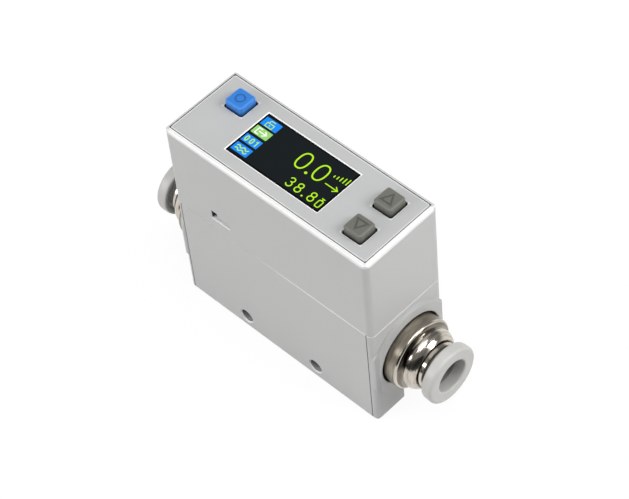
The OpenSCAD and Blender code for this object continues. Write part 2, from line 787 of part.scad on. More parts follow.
// Release ring: sleeve with a catch at its nose, and a dished disc with rounded edges
release_points = concat(
    [
        [ring_bore_r, nose_x], [sleeve_r - 0.3, nose_x], [sleeve_r, nose_x + 0.4], [sleeve_r + 0.35, nose_x + 0.8],
        [sleeve_r + 0.35, nose_x + 1.3], [sleeve_r, nose_x + 1.3], [sleeve_r, release_back + 1.2],
        [release_r - 1.6, release_back + 1.2], [release_r - 1.1, release_back + 0.1]
    ],
    curve([release_r - 0.9, release_back], [release_r - 0.1, release_back], [release_r - 0.05, release_back + 0.9], 5),
    curve([release_r, release_front - 0.8], [release_r, release_front], [release_r - 0.8, release_front], 6),
    curve([ring_bore_r + 0.5, release_front], [ring_bore_r, release_front], [ring_bore_r, release_front - 0.5], 4)
);

module release_ring(side) color(release_grey) turned(release_points, side);

// Fork that locks a fitting in the flow body
module clip(side) color(steel)
    translate([side * clip_x - clip_t / 2, 0, 0]) rotate([90, 0, 90]) linear_extrude(clip_t) difference() {
        translate([-clip_half_w, 0.6]) square([2 * clip_half_w, axis_h + 1.2]);
        translate([0, axis_h]) circle(clip_core_r + fit);
        translate([-clip_core_r - fit, axis_h]) square([2 * (clip_core_r + fit), 3]);
        translate([-notch_w / 2 + 0.5, 0]) square([notch_w - 1, 1.6]);
    }

upper_housing();
top_panel();
display_window();
display_module();
display_board();
set_key();
up_key();
down_key();
plunger("set");  // set_plunger
plunger("up");  // up_plunger
plunger("down");  // down_plunger
key_switches();
main_board();
board_chips();
board_link();
board_frame();
frame_screws();
connector_shroud();
connector_pins();
housing_gasket();
sensor_board();
sensor_chip();
sensor_gasket();
sensor_link();
flow_body();
side_cover();
flow_element();
flow_screens();
fitting(-1);  // inlet_fitting
fitting(1);  // outlet_fitting
o_ring(-1);  // inlet_o_ring
o_ring(1);  // outlet_o_ring
tube_seal(-1);  // inlet_seal
tube_seal(1);  // outlet_seal
chuck(-1);  // inlet_chuck
chuck(1);  // outlet_chuck
guide(-1);  // inlet_guide
guide(1);  // outlet_guide
release_ring(-1);  // inlet_release
release_ring(1);  // outlet_release
clip(-1);  // inlet_clip
clip(1);  // outlet_clip
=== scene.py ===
import math

import bpy
from mathutils import Matrix, Vector


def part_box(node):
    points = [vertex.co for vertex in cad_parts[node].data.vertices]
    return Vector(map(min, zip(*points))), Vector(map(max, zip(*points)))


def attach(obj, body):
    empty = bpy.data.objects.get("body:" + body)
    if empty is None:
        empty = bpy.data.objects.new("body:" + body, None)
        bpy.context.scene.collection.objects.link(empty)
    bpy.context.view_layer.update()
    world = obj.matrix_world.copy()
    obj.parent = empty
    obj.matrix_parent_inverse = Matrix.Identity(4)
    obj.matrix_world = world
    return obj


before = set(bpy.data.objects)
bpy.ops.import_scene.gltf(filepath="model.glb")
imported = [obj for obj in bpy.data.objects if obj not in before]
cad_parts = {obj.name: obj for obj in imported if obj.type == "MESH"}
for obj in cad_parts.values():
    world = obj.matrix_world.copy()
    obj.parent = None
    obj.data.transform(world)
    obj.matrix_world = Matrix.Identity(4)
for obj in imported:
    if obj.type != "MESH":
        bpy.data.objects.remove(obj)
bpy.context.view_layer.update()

bl_info = {
    "name": "Gas flow meter dressing",
    "version": (1, 0, 0),
    "blender": (4, 5, 0),
    "location": "3D View > Sidebar > Flow meter",
    "description": "Gives the packed gas flow meter its display, materials and studio",
    "category": "Object",
}

MM = 0.001
FINE = 0.00002  # how far a painted area reaches past the edge that it follows
KEY_SHORTFALL = 0.0005  # how much the hidden flange of a key is wider than its opening, to each side
KEY_MARK = 0.0018  # half width of the square that holds a key's engraved mark
KEY_FLAT = 0.00205  # half width of a key's top face, inside its rounded edge
KEY_SIDES = (-0.0004, 0.0012)  # heights from the panel between which the painted shade down a key's side ends
BEVEL_HIGHLIGHTS = {"key": 0.4, "panel": 0.35}  # how bright the painted highlights on these bevels are beside the window's
SEAM_EDGE = 0.0002  # height of the painted highlight along the seam
SEAM_GROWS = (-0.006, 0.008)  # places along the body between which that edge grows in
SEAM_FADES = (0.0290, 0.0295)  # distances from the middle between which it gets fainter at the ends
RIM_DEPTHS = (0.0013, 0.0008)  # depths below the top between which the painted highlight on the rounded top edge grows in
FAR_SIDES = (0.0016, 0.001)  # distances from the side between which the weaker painted highlight of the two far sides grows in
BOSS_EDGE = 0.00058  # depth of the painted shade on the edge round the bosses
BOSS_PLAIN = 0.001  # width round the recess in a boss that gets no painted shade
RECESS_GAP = 0.00035  # gap between a fitting's flange and the edge of the painted shade in the recess round it
RECESS_FLOOR = 0.0235  # distance from the middle at which the painted shade in the recess ends
RECESS_LIP = 0.0002  # width of the painted highlight on the lip round the recess
JOINT = (-0.00012, 0.00016)  # where the side cover's upright joint shows, from the cover's end
JOINT_DEPTH = 0.0012  # and how deep it shows from the cover's face
SIDE_HOLE = {"along": 0.01075, "height": 0.0034, "radius": 0.0017, "lip": 0.00025}
HOLE_LIP = (0.0003, -0.0008)  # heights from a hole's middle between which the painted highlight on its lip grows in
SNAP_WINDOW = {"from": -0.01755, "to": -0.01195, "sill": 0.0333, "head": 0.0357}  # places along and heights
SNAP_LEDGE = 0.0003  # height of the painted highlight on the edge under a snap window
SNAP_WALL = 0.00015  # how far inside the housing's face the painted shade of a snap window starts
HOOK_DEPTH = 0.0019  # how far in from the side of the inner frame its snap hooks reach
RING_BACK = (0.0029, 0.0026)  # depths behind a release ring's outer face where the painted shade on its back begins
FLANGE_END = 0.0329  # distance from the middle at which the ground flange meets the polished bead
FILLET = (0.03342, 0.0342)  # distances between which the fillet of the neck lies, darkened as painted shade
CREASE = ((0.0333, 0.0335), (0.0349, 0.0344))  # distances between which the painted dark reflection in the crease grows in, each way
CREASE_HEIGHTS = (0.0016, 0.0034)  # heights over the flow axis between which that painted reflection grows in
CREASE_SIDE = (-0.0008, -0.003)  # and places across
MARK_FOOT = 0.00001  # how deep in the window the display marks start
BRIGHT_ROOM = 0.34  # how far up metal shows the bright lower part of the room
NOISE = (0.3, 0.7)  # the range in which nearly all of a noise lies

# settings


def colour(name, text, red, green, blue):
    return bpy.props.FloatVectorProperty(
        name=name, description=text, subtype="COLOR", size=3, min=0, max=1, default=(red, green, blue)
    )


def length(name, text, metres):
    return bpy.props.FloatProperty(
        name=name, description=text, default=metres, min=0, unit="LENGTH", subtype="DISTANCE", precision=6
    )


def factor(name, text, value, top=1.0):
    return bpy.props.FloatProperty(
        name=name, description=text, default=value, min=0, max=top, subtype="FACTOR"
    )


def power(name, text, watts):
    return bpy.props.FloatProperty(name=name, description=text, default=watts, min=0, unit="POWER")


def direction(name, text, x, y, z):
    return bpy.props.FloatVectorProperty(
        name=name, description=text, subtype="DIRECTION", size=3, default=(x, y, z), precision=6
    )


class PlasticSettings(bpy.types.PropertyGroup):
    """Colours and grain of the moulded plastic pieces."""

    housing: colour("Housing", "Light grey of the two housings and the side cover", 0.475, 0.475, 0.47)
    # painted highlight: a paler colour for light caught on the rounded top edge round the panel, and on the
    # seam, recess and screw hole edges
    rim_highlight: colour("Housing rim", "Paler grey of the rounded rim round the panel", 0.72, 0.72, 0.71)
    panel: colour("Top panel", "Silvery grey of the panel round the display", 0.43, 0.435, 0.435)
    # painted highlight: near white for light caught on the bevels round the panel's openings and edge, and
    # under the snap windows
    bevel_highlight: colour("Panel edges", "Bright bevels round the openings of the panel", 0.90, 0.90, 0.89)
    set_key: colour("Set key", "Blue of the set key", 0.026, 0.178, 0.56)
    step_key: colour("Up and down keys", "Olive grey of the up and down keys", 0.124, 0.124, 0.108)
    release: colour("Release rings", "Off-white of the release rings", 0.47, 0.465, 0.45)
    # black plastic, also used as painted shade in recesses, screw holes, snap windows, below the panel's face
    # and on the inner frame
    black: colour("Black plastic", "Headers, plungers and the dark of gaps and recesses", 0.02, 0.02, 0.022)
    element: colour("Flow element", "Off-white of the flow element", 0.68, 0.68, 0.65)
    grain: length("Grain", "Width of the grain of the moulded surfaces", 0.00035)
    grain_depth: factor("Grain depth", "Strength of the grain of the moulded surfaces", 0.12)
    # painted highlight: how much weaker it is along the two far sides of the rounded top edge
    far_rim: factor("Far rim", "How much duller the rim is on its two far sides", 0.8)
    hole_shade: factor("Hole shade", "How dark the screw holes are at their top", 1.0)
    joint_shade: factor("Joint shade", "How dark the upright joints of the side cover are", 0.6)
    mark_shade: factor("Mark shade", "How dark the engraved marks of the keys are", 0.28)
    # painted highlight on the rounded edges of the keys
    edge_highlight: factor("Edge light", "How much paler the rounded edges of the keys are", 0.22)
    # width of the painted highlights on the panel's bevels
    bevel_highlight_width: length("Panel edge width", "Width of the bright bevels of the panel", 0.00026)
    panel_gap: length("Panel gap", "Width of the dark line round the panel", 0.0002)
    # width of the painted highlight on the bevel round the window
    window_highlight_width: length("Window edge width", "Width of the bright bevel round the window", 0.00034)


class DisplaySettings(bpy.types.PropertyGroup):
    """Colours and stroke widths of the colour display."""

    border: colour("Border", "Black border of the window", 0.003, 0.003, 0.004)
    ground: colour("Ground", "Dark ground of the lit area", 0.0085, 0.0112, 0.0126)
    digit: colour("Digits", "Lime green of the digits", 0.50, 0.95, 0.006)
    tile: colour("Tile", "Blue of the status tiles", 0.0, 0.27, 1.0)
    tile_on: colour("Active tile", "Green of the tile of the active output", 0.33, 0.72, 0.17)
    tile_mark: colour("Active mark", "White of the mark on the green tile", 0.95, 1.0, 0.92)
    glow: factor("Glow", "Strength of the light of the display", 1.0, 4.0)
    border_width: length("Border width", "Width of the black border of the window", 0.00034)
    large_stroke: length("Large stroke", "Stroke width of the large digits", 0.00037)
    small_stroke: length("Small stroke", "Stroke width of the small digits", 0.00027)
    icon_stroke: length("Icon stroke", "Stroke width of the icons", 0.00022)
    relief: length("Relief", "How far the lit marks stand above the window", 0.00003)


class MetalSettings(bpy.types.PropertyGroup):
    """Colours and finish of the metal pieces."""

    nickel: colour("Nickel", "Warm nickel plating of the fittings", 0.61, 0.56, 0.49)
    # partly a painted dark reflection: darker than the polished nickel, standing in for the dark room the
    # flange mirrors
    ground: colour("Ground nickel", "Duller nickel of the ground flange", 0.37, 0.33, 0.27)
    steel: colour("Steel", "Clips, screws, screens and switch shells", 0.55, 0.56, 0.57)
    gold: colour("Pins", "Plated pins of the connector", 0.78, 0.55, 0.22)
    polish: factor("Polish", "Roughness of the polished neck", 0.17)
    satin: factor("Satin", "Roughness of the satin flange", 0.34)


class InsideSettings(bpy.types.PropertyGroup):
    """Colours of the boards and seals."""

    board: colour("Board", "Green solder mask", 0.018, 0.12, 0.045)
    track: colour("Tracks", "Lighter green over the copper tracks", 0.05, 0.22, 0.08)
    rubber: colour("Rubber", "Seals and gaskets", 0.018, 0.018, 0.02)


class StageSettings(bpy.types.PropertyGroup):
    """Camera, floor and lights."""

    lens: bpy.props.FloatProperty(
        name="Lens", description="Focal length for a 36 mm wide sensor",
        default=131.386, min=20, unit="CAMERA",
    )
    camera_place: bpy.props.FloatVectorProperty(
        name="Camera place", description="Where the camera stands", subtype="TRANSLATION",
        unit="LENGTH", size=3, default=(0.238409, -0.207840, 0.415627), precision=6,
    )
    camera_right: direction("Camera right", "Right in the picture", 0.721416, 0.688958, -0.069973)
    camera_down: direction("Camera down", "Downwards in the picture", 0.506041, -0.593450, -0.625891)
    floor: colour("Floor", "Pale floor", 0.60, 0.60, 0.60)
    sky: factor("Room light", "Strength of the even light of the room", 0.42, 4.0)
    ceiling: factor("Ceiling", "How bright the room over the object shows in metal", 0.22, 4.0)
    floor_glow: factor("Floor white", "How far the floor shows plain white to the camera", 0.92)
    left_light: power("Left light", "Power of the soft light at the inlet side", 2.42)
    right_light: power("Right light", "Power of the soft light at the outlet side", 3.35)
    top_light: power("Top light", "Power of the large soft light overhead", 5.0)


SETTINGS = (
    ("meter_plastic", PlasticSettings),
    ("meter_display", DisplaySettings),
    ("meter_metal", MetalSettings),
    ("meter_inside", InsideSettings),
    ("meter_stage", StageSettings),
)

# node helpers


class Tree:
    """Short calls for building a node tree."""

    def __init__(self, nodes, links):
        self.nodes = nodes
        self.links = links
        self.column = 0

    def add(self, kind, inputs=None, **fields):
        node = self.nodes.new(kind)
        self.column += 1
        node.location = (180 * (self.column % 9), -220 * (self.column // 9))
        for name, value in fields.items():
            setattr(node, name, value)
        for name, value in (inputs or {}).items():
            self.feed(node.inputs[name], value)
        return node

    def feed(self, socket, value):
        if isinstance(value, bpy.types.NodeSocket):
            self.links.new(value, socket)
        elif hasattr(value, "__len__") and len(value) == 3 and len(socket.default_value) == 4:
            socket.default_value = (*value, 1)
        else:
            socket.default_value = value

    def give(self, node, **values):
        """Gives inputs of a node their values, by name with _ for a space."""
        for name, value in values.items():
            self.feed(node.inputs[name.replace("_", " ")], value)

    def maths(self, operation, first, second=0.0):
        node = self.add("ShaderNodeMath", operation=operation)
        self.feed(node.inputs[0], first)
        self.feed(node.inputs[1], second)
        return node.outputs[0]

    def times(self, first, *others):
        """Product of two values or more."""
        for other in others:
            first = self.maths("MULTIPLY", first, other)
        return first

    def less(self, first, second):
        """Difference of two values."""
        return self.maths("SUBTRACT", first, second)

    def above(self, value, limit):
        """1 where a value is over a limit, 0 elsewhere."""
        return self.maths("GREATER_THAN", value, limit)

    def below(self, value, limit):
        """1 where a value is under a limit, 0 elsewhere."""
        return self.maths("LESS_THAN", value, limit)

    def between(self, value, low, high):
        """1 where a value lies between two limits, 0 elsewhere."""
        return self.times(self.above(value, low), self.below(value, high))

    def distance(self, first, second):
        """Distance of a point from an axis, from its places in two directions."""
        return self.maths("SQRT", self.maths("ADD", self.times(first, first), self.times(second, second)))

    def blend(self, amount, first, second):
        node = self.add("ShaderNodeMix", data_type="RGBA")
        self.feed(node.inputs["Factor"], amount)
        self.feed(node.inputs[6], first)
        self.feed(node.inputs[7], second)
        return node.outputs[2]

    def ramp(self, value, low, high, from_value=0.0, to_value=1.0):
        node = self.add("ShaderNodeMapRange", interpolation_type="SMOOTHSTEP")
        limits = (("From Min", low), ("From Max", high), ("To Min", from_value), ("To Max", to_value))
        for name, amount in limits:
            node.inputs[name].default_value = amount
        self.feed(node.inputs["Value"], value)
        return node.outputs["Result"]

    def shaded(self, skin, value):
        """A colour made darker or brighter by a factor."""
        return self.add("ShaderNodeHueSaturation", {"Color": skin, "Value": value}).outputs["Color"]

    def place(self):
        """The point in object coordinates."""
        return self.add("ShaderNodeTexCoord").outputs["Object"]

    def position(self):
        """X, Y and Z of the point in object coordinates."""
        split = self.add("ShaderNodeSeparateXYZ", {"Vector": self.place()})
        return split.outputs["X"], split.outputs["Y"], split.outputs["Z"]

    def noise(self, scale, detail=1.0, roughness=0.5):
        """Noise in object coordinates."""
        inputs = {"Vector": self.place(), "Scale": scale, "Detail": detail, "Roughness": roughness}
        return self.add("ShaderNodeTexNoise", inputs).outputs["Fac"]


def new_group(name, inputs, outputs):
    """A shader node group with its tree, input and output nodes. Only a Colour socket isn't a float."""
    group = bpy.data.node_groups.new(name, "ShaderNodeTree")
    for way, titles in (("INPUT", inputs), ("OUTPUT", outputs)):
        for title in titles:
            kind = "NodeSocketColor" if title == "Colour" else "NodeSocketFloat"
            socket = group.interface.new_socket(title, in_out=way, socket_type=kind)
            if way == "INPUT":
                socket.default_value = inputs[title]
    tree = Tree(group.nodes, group.links)
    return group, tree, tree.add("NodeGroupInput"), tree.add("NodeGroupOutput")


def moulded_grain_group():
    """Fine moulded grain with a slow change of tone, in object coordinates."""
    name = "moulded_grain"
    if name in bpy.data.node_groups:
        return bpy.data.node_groups[name]
    inputs = {"Colour": (0.5, 0.5, 0.5, 1), "Grain Width": 0.0004, "Tone": 0.05}
    group, tree, start, end = new_group(name, inputs, ("Colour", "Roughness Shift", "Height"))
    fine = tree.noise(tree.maths("DIVIDE", 1.0, start.outputs["Grain Width"]), 2.0, 0.6)
    slow = tree.noise(90.0)
    mixed = tree.maths("ADD", tree.times(fine, 0.55), tree.times(slow, 0.45))
    shift = tree.times(tree.less(mixed, 0.5), start.outputs["Tone"])
    bright = tree.maths("ADD", 1.0, tree.times(shift, 2.0))
    tree.links.new(tree.shaded(start.outputs["Colour"], bright), end.inputs["Colour"])
    tree.links.new(tree.ramp(slow, *NOISE, -0.03, 0.03), end.inputs["Roughness Shift"])
    tree.links.new(fine, end.inputs["Height"])
    return group


def turned_marks_group():
    """Fine rings that a lathe leaves round an axis along X, in object coordinates."""
    name = "turned_marks"
    if name in bpy.data.node_groups:
        return bpy.data.node_groups[name]
    group, tree, start, end = new_group(name, {"Pitch": 0.0001}, ("Height", "Streak"))
    along = tree.maths("DIVIDE", tree.position()[0], start.outputs["Pitch"])
    rings = {"Scale": 1.0, "Detail": 3.0, "Roughness": 0.7}
    lines = tree.add("ShaderNodeTexNoise", rings, noise_dimensions="1D")
    tree.links.new(along, lines.inputs["W"])
    stretched = tree.add("ShaderNodeMapping", {"Vector": tree.place(), "Scale": (2600, 260, 260)})
    streaks = tree.add("ShaderNodeTexNoise", {"Vector": stretched.outputs[0], "Scale": 1.0, "Detail": 2.0})
    tree.links.new(lines.outputs["Fac"], end.inputs["Height"])
    tree.links.new(streaks.outputs["Fac"], end.inputs["Streak"])
    return group


def box_mask_group():
    """1 inside a rectangle in object X and Y, 0 outside, with its edges set in metres."""
    name = "box_mask"
    if name in bpy.data.node_groups:
        return bpy.data.node_groups[name]
    inputs = {"Centre X": 0.0, "Centre Y": 0.0, "Half Length": 0.01, "Half Width": 0.01}
    group, tree, start, end = new_group(name, inputs, ("Mask",))
    inside = []
    for value, axis, half in zip(tree.position(), "XY", ("Half Length", "Half Width")):
        away = tree.maths("ABSOLUTE", tree.less(value, start.outputs["Centre " + axis]))
        inside.append(tree.below(away, start.outputs[half]))
    tree.links.new(tree.times(*inside), end.inputs["Mask"])
    return group


def clear_tree(holder):
    """The emptied node tree of a material or a world."""
    holder.use_nodes = True
    holder.node_tree.nodes.clear()
    return Tree(holder.node_tree.nodes, holder.node_tree.links)


def new_material(name):
    """An empty material with its tree and Principled shader."""
    material = bpy.data.materials.new(name)
    tree = clear_tree(material)
    shader = tree.add("ShaderNodeBsdfPrincipled")
    output = tree.add("ShaderNodeOutputMaterial")
    tree.links.new(shader.outputs[0], output.inputs["Surface"])
    return material, tree, shader


def use_group(tree, group, **values):
    node = tree.add("ShaderNodeGroup", node_tree=group)
    tree.give(node, **values)
    return node


def rectangle_mask(tree, middle, half_length, half_width):
    """1 inside a rectangle round a point, as seen from above."""
    mask = use_group(
        tree, box_mask_group(), Centre_X=middle.x, Centre_Y=middle.y,
        Half_Length=half_length, Half_Width=half_width,
    )
    return mask.outputs["Mask"]


def node_mask(tree, node, spare):
    """1 inside the box of a CAD node, as seen from above and grown by spare to each side."""
    low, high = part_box(node)
    half = (high - low) / 2
    return rectangle_mask(tree, (low + high) / 2, half.x + spare, half.y + spare)


def axis_height():
    """Height of the flow axis."""
    low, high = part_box("outlet_release")
    return (low.z + high.z) / 2


def bump(tree, shader, height, strength, distance):
    node = tree.add("ShaderNodeBump", {"Height": height, "Strength": strength, "Distance": distance})
    tree.give(shader, Normal=node.outputs[0])


def moulded(name, tint, roughness, tone=0.05, depth=None, grain=None):
    """Moulded plastic: slight mottling, fine grain and a roughness that wanders a little."""
    plastic = bpy.context.scene.meter_plastic
    material, tree, shader = new_material(name)
    skin = use_group(
        tree, moulded_grain_group(), Colour=tint, Grain_Width=grain or plastic.grain, Tone=tone
    )
    rough = tree.maths("ADD", roughness, skin.outputs["Roughness Shift"])
    tree.give(shader, Base_Color=skin.outputs["Colour"], Roughness=rough)
    bump(tree, shader, skin.outputs["Height"], plastic.grain_depth if depth is None else depth, 0.00004)
    return material


def turned_metal(name, tint, roughness, pitch=0.0001, depth=0.1):
    """Metal turned about the flow axis."""
    material, tree, shader = new_material(name)
    marks = use_group(tree, turned_marks_group(), Pitch=pitch)
    streak = marks.outputs["Streak"]
    tree.give(shader, Base_Color=tree.blend(streak, [c * 0.93 for c in tint], tint))
    rough = tree.ramp(streak, *NOISE, roughness * 0.85, roughness * 1.15)
    tree.give(shader, Roughness=rough, Metallic=1.0)
    bump(tree, shader, marks.outputs["Height"], depth, 0.00002)
    return material


def reopen(material):
    """Tree, shader and base colour of a moulded material, to paint over parts of it."""
    tree = Tree(material.node_tree.nodes, material.node_tree.links)
    shader = next(node for node in tree.nodes if node.type == "BSDF_PRINCIPLED")
    return tree, shader, shader.inputs["Base Color"].links[0].from_socket


def dress(node, material):
    """Puts a material on a CAD node in place of the one it came with."""
    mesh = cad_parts[node].data
    mesh.materials.clear()
    mesh.materials.append(material)


# shapes of the display marks


def arc(x, y, across, up, start, end, steps):
    """Points on an ellipse, angles in degrees from the right, anticlockwise."""
    turn = [math.radians(start + (end - start) * i / steps) for i in range(steps + 1)]
    return [(x + across * math.cos(t), y + up * math.sin(t)) for t in turn]


def stadium(x, y, across, up, squareness, steps=56):
    """Closed oval between an ellipse and a rectangle, such as a zero."""
    points = []
    for i in range(steps):
        t = 2 * math.pi * i / steps
        c, s = math.cos(t), math.sin(t)
        bend = 2 / squareness
        right, above = math.copysign(abs(c) ** bend, c), math.copysign(abs(s) ** bend, s)
        points.append((x + across * right, y + up * above))
    return points


def stroke(points, width, closed):
    """Left and right edge points of a stroke with round ends along a line of points."""
    line = [Vector(p) for p in points]
    count = len(line)
    stations = []
    for i, here in enumerate(line):
        before = line[i - 1] if i or closed else here
        after = line[(i + 1) % count] if i < count - 1 or closed else here
        entry = (here - before).normalized() if (here - before).length > 1e-9 else None
        leave = (after - here).normalized() if (after - here).length > 1e-9 else None
        entry, leave = entry or leave, leave or entry
        middle = (entry + leave).normalized()
        widen = 1 / max(0.5, middle.dot(leave))
        side = Vector((-middle.y, middle.x)) * (width / 2 * widen)
        stations.append((here + side, here - side))
    if not closed:
        caps = [math.radians(a) for a in (22, 45, 67, 86)]
        first, last = (line[1] - line[0]).normalized(), (line[-1] - line[-2]).normalized()
        for angle in caps:
            reach, half = width / 2 * math.sin(angle), width / 2 * math.cos(angle)
            side = Vector((-first.y, first.x)) * half
            stations.insert(0, (line[0] - first * reach + side, line[0] - first * reach - side))
            side = Vector((-last.y, last.x)) * half
            stations.append((line[-1] + last * reach + side, line[-1] + last * reach - side))
    return stations


def raised_marks(name, strokes, discs, low, high, material):
    """One piece of raised strokes and discs between two heights.

    Each stroke is (points, width, closed), in metres.
    """
    verts, faces = [], []
    for points, width, closed in strokes:
        stations = stroke(points, width, closed)
        base = len(verts)
        for left, right in stations:
            for side in (left, right):
                verts += [(side.x, side.y, high), (side.x, side.y, low)]
        count = len(stations)
        for i in range(count if closed else count - 1):
            a, b = base + 4 * i, base + 4 * ((i + 1) % count)
            faces += [(a, a + 2, b + 2, b), (a + 1, b + 1, b + 3, a + 3)]
            faces += [(a, b, b + 1, a + 1), (a + 2, a + 3, b + 3, b + 2)]
        if not closed:
            last = base + 4 * (count - 1)
            faces += [(base, base + 1, base + 3, base + 2), (last, last + 2, last + 3, last + 1)]
    for outline in discs:
        base, count = len(verts), len(outline)
        verts += [(x, y, high) for x, y in outline] + [(x, y, low) for x, y in outline]
        faces.append(tuple(range(base, base + count)))
        faces.append(tuple(reversed(range(base + count, base + 2 * count))))
        for i in range(count):
            j = (i + 1) % count
            faces.append((base + i, base + count + i, base + count + j, base + j))
    mesh = bpy.data.meshes.new(name)
    mesh.from_pydata(verts, [], faces)
    mesh.validate()
    mesh.update()
    piece = bpy.data.objects.new(name, mesh)
    bpy.context.scene.collection.objects.link(piece)
    mesh.materials.append(material)
    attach(piece, "body")
    return piece


def digit(kind, x, y, wide, tall):
    """Centre lines of a digit whose box is centred on x, y: a list of (points, closed)."""
    w, h = wide / 2, tall / 2
    if kind == "0":
        return [(stadium(x, y, w, h, 2.35), True)]
    if kind == "8":
        up, down = h * 0.46, h * 0.54
        return [
            (stadium(x, y + h - up, w * 0.86, up, 2.2, 40), True),
            (stadium(x, y - h + down, w, down, 2.2, 40), True),
        ]
    if kind == "3":
        up, down = h * 0.46, h * 0.54
        top = arc(x, y + h - up, w * 0.9, up, 155, -90, 30)
        low = arc(x, y - h + down, w, down, 90, -155, 34)
        return [(top + low[1:], False)]
    if kind == "1":
        return [([(x - w * 0.7, y + h * 0.55), (x + w * 0.1, y + h), (x + w * 0.1, y - h)], False)]
    raise ValueError("no centre line for the digit " + kind)


def in_metres(lines, width):
    """Strokes from centre lines in millimetres, with a width in metres."""
    return [([(x * MM, y * MM) for x, y in points], width, closed) for points, closed in lines]


# operators


class METER_OT_dress_housings(bpy.types.Operator):
    """Moulded grey plastic on the housings and side cover, and the silvery top panel."""

    bl_idname = "meter.dress_housings"
    bl_label = "Dress the housings"

    def execute(self, context):
        look = context.scene.meter_plastic
        grey = self.lower_housing(look)
        for node in ("flow_body", "side_cover", "connector_shroud"):
            dress(node, grey)
        dress("upper_housing", self.upper_housing(look))
        dress("top_panel", self.panel(look))
        dress("board_frame", self.inner_frame(look))
        return {"FINISHED"}

    def lower_housing(self, look):
        """Housing plastic with painted highlights on the seam, recess and hole edges, painted shade on the
        boss edges, in the recesses and in the screw holes, and dark joints.
        """
        material = moulded("housing_plastic", look.housing, 0.46, tone=0.045)
        tree, shader, skin = reopen(material)
        along, across, height = tree.position()
        away = tree.maths("ABSOLUTE", along)
        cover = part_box("side_cover")
        # painted highlight along the seam, growing in along the body and fainter at the ends
        seam_highlight = tree.times(
            tree.between(height, cover[1].z - SEAM_EDGE, cover[1].z + FINE),
            tree.ramp(along, *SEAM_GROWS), tree.ramp(away, *SEAM_FADES, 1.0, 0.4),
        )
        boss_edge_shade, lip, recess = self.boss(tree, away, tree.distance(across, tree.less(height, axis_height())))
        # painted shade: the boss's chamfered edge is darkened by a fifth
        skin = tree.shaded(skin, tree.less(1.0, tree.times(boss_edge_shade, 0.2)))
        # painted highlight on the seam edge and on the recess lip
        skin = tree.blend(tree.maths("MAXIMUM", seam_highlight, lip), skin, look.rim_highlight)
        joint = tree.times(
            tree.between(away, cover[1].x + JOINT[0], cover[1].x + JOINT[1]),
            tree.below(across, cover[0].y + JOINT_DEPTH), look.joint_shade,
        )
        skin = tree.blend(joint, skin, look.black)
        skin = self.screw_holes(tree, look, skin, tree.less(away, SIDE_HOLE["along"]), height)
        # painted shade in the recess round each fitting
        tree.give(shader, Base_Color=tree.blend(recess, skin, look.black))
        return material

    @staticmethod
    def boss(tree, away, radius):
        """Masks of the painted shade on a boss's edge, of the painted highlight on the lip round its recess
        and of the painted shade in the recess.
        """
        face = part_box("flow_body")[1].x
        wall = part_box("outlet_fitting")[1].y + RECESS_GAP
        boss_edge_shade = tree.times(
            tree.between(away, face - BOSS_EDGE, face - FINE), tree.above(radius, wall + BOSS_PLAIN)
        )
        # painted highlight on the lip round the recess
        lip = tree.times(tree.between(radius, wall, wall + RECESS_LIP), tree.above(away, face - 2 * FINE))
        # painted shade in the recess
        recess = tree.times(tree.below(radius, wall), tree.between(away, RECESS_FLOOR, face - 2 * FINE))
        return boss_edge_shade, lip, recess

    @staticmethod
    def screw_holes(tree, look, skin, aside, height):
        """Base colour with painted shade in the screw holes, darkest at their top, and a painted highlight on
        the lip under each.
        """
        rise = tree.less(height, SIDE_HOLE["height"])
        radius = tree.distance(aside, rise)
        edge = SIDE_HOLE["radius"] + FINE
        # painted shade in each screw hole, darkest at its top, and a painted highlight on the lower half of
        # its lip
        shade = tree.times(tree.ramp(rise, -edge, edge * 0.6, 0.1, look.hole_shade), tree.below(radius, edge))
        lip = tree.times(tree.between(radius, edge, edge + SIDE_HOLE["lip"]), tree.ramp(rise, *HOLE_LIP))
        return tree.blend(shade, tree.blend(lip, skin, look.rim_highlight), look.black)

    @staticmethod
    def upper_housing(look):
        """Housing plastic with a painted highlight on its smoother rounded top edge, weaker on the far sides,
        painted shade in the snap windows and a painted highlight on the sill under each.
        """
        material = moulded("upper_plastic", look.housing, 0.46, tone=0.045)
        tree, shader, skin = reopen(material)
        along, across, height = tree.position()
        low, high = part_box("upper_housing")
        # painted highlight: the rounded top edge is paler and smoother, less so on the two far sides
        rim_highlight = tree.ramp(height, *(high.z - depth for depth in RIM_DEPTHS))
        far = tree.maths(
            "MAXIMUM", tree.ramp(across, *(high.y - reach for reach in FAR_SIDES)),
            tree.ramp(along, *(low.x + reach for reach in FAR_SIDES)),
        )
        top_edge_highlight = tree.times(rim_highlight, tree.less(1.0, tree.times(far, look.far_rim)))
        rough = shader.inputs["Roughness"].links[0].from_socket
        tree.give(shader, Roughness=tree.less(rough, tree.times(rim_highlight, 0.2)))
        near = tree.between(along, SNAP_WINDOW["from"], SNAP_WINDOW["to"])
        sill, head = SNAP_WINDOW["sill"] + 2 * FINE, SNAP_WINDOW["head"] + FINE
        inner = tree.below(tree.maths("ABSOLUTE", across), high.y - SNAP_WALL)
        # painted shade inside each snap window
        hollow = tree.times(near, tree.between(height, sill, head), inner)
        # painted highlight on the edge under each snap window
        ledge = tree.times(near, tree.between(height, SNAP_WINDOW["sill"] - SNAP_LEDGE, sill))
        skin = tree.blend(ledge, tree.blend(top_edge_highlight, skin, look.rim_highlight), look.bevel_highlight)
        # painted shade of the snap windows, and the dark gap round the panel
        dark = tree.maths("MAXIMUM", hollow, node_mask(tree, "top_panel", look.panel_gap))
        tree.give(shader, Base_Color=tree.blend(dark, skin, look.black))
        return material

